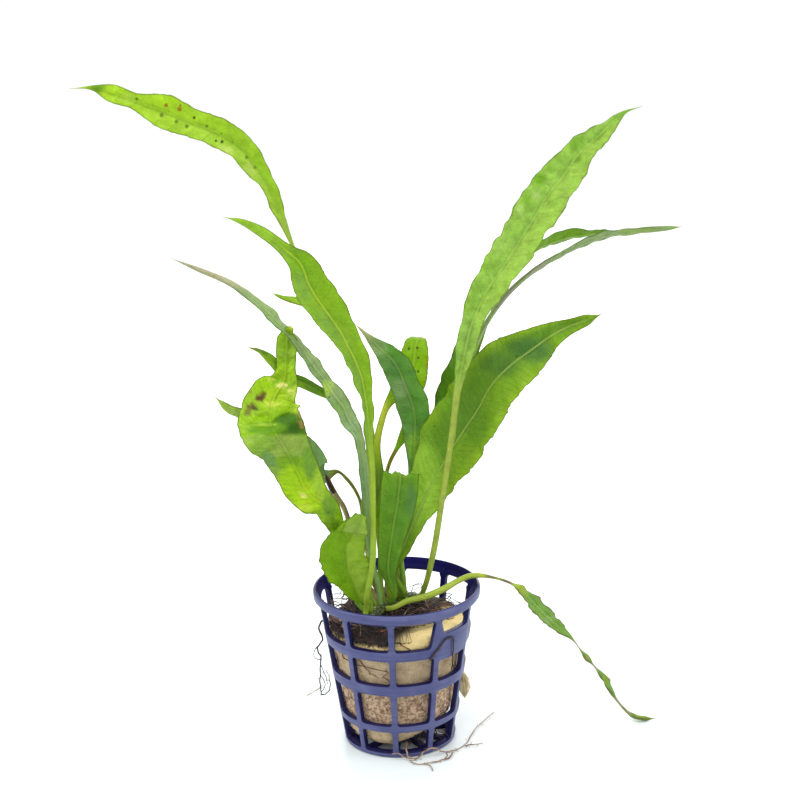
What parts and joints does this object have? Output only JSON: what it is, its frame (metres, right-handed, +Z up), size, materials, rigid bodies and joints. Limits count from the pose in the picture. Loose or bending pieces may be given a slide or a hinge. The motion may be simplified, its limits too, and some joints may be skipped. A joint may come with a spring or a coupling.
{
  "type": "potted java fern",
  "caption": "Java fern rooted in a slatted tapered net pot with a rock wool plug; narrow ribbed fronds rise and arch from a creeping rhizome, and one trails over the rim to the table.",
  "frame": {"origin": "centre of the underside of the pot's base, on the resting surface", "axes": "+Z up along the pot's axis, +Y to the back of the plant, +X to the right towards the trailing frond"},
  "size_m": [0.1761, 0.0664, 0.1976],
  "materials": {
    "pot_plastic": "semi-gloss grey-blue moulded plastic",
    "rock_wool": "damp mineral wool fibre, tan to ochre",
    "rhizome": "green-brown scaly creeping stem",
    "roots": "wiry dark brown hair roots",
    "pale_roots": "fine pale brown roots",
    "leaf_bright": "satin bright yellow-green frond",
    "leaf_deep": "satin deep green frond",
    "leaf_pale": "satin grey-green frond underside",
    "dead_stem": "dry brown stalk"
  },
  "bodies": {
    "root": {"net_pot": "pot_plastic", "wool_plug": "rock_wool", "wool_tuft": "rock_wool", "root_mat": "roots", "root_beard": "roots", "rhizome": "rhizome", "root_bent": "roots", "root_left": "roots", "root_left_branch": "roots", "root_left_hook": "roots", "root_table": "pale_roots", "root_table_side": "pale_roots", "root_table_front": "pale_roots", "dead_stalk": "dead_stem", "frond_tall_left": "leaf_bright", "frond_front_left": "leaf_bright", "frond_small_left": "leaf_deep", "frond_thin_left": "leaf_pale", "frond_pointed_left": "leaf_deep", "frond_folded": "leaf_bright", "frond_back_left": "leaf_deep", "frond_short": "leaf_bright", "frond_torn": "leaf_deep", "frond_broad_right": "leaf_deep", "frond_tall_right": "leaf_bright", "frond_arching_right": "leaf_pale", "frond_dark_right": "leaf_deep", "frond_centre": "leaf_deep", "frond_spotted": "leaf_bright", "frond_young": "leaf_bright", "frond_hidden_right": "leaf_deep", "frond_trailing": "leaf_deep"}
  },
  "joints": []
}
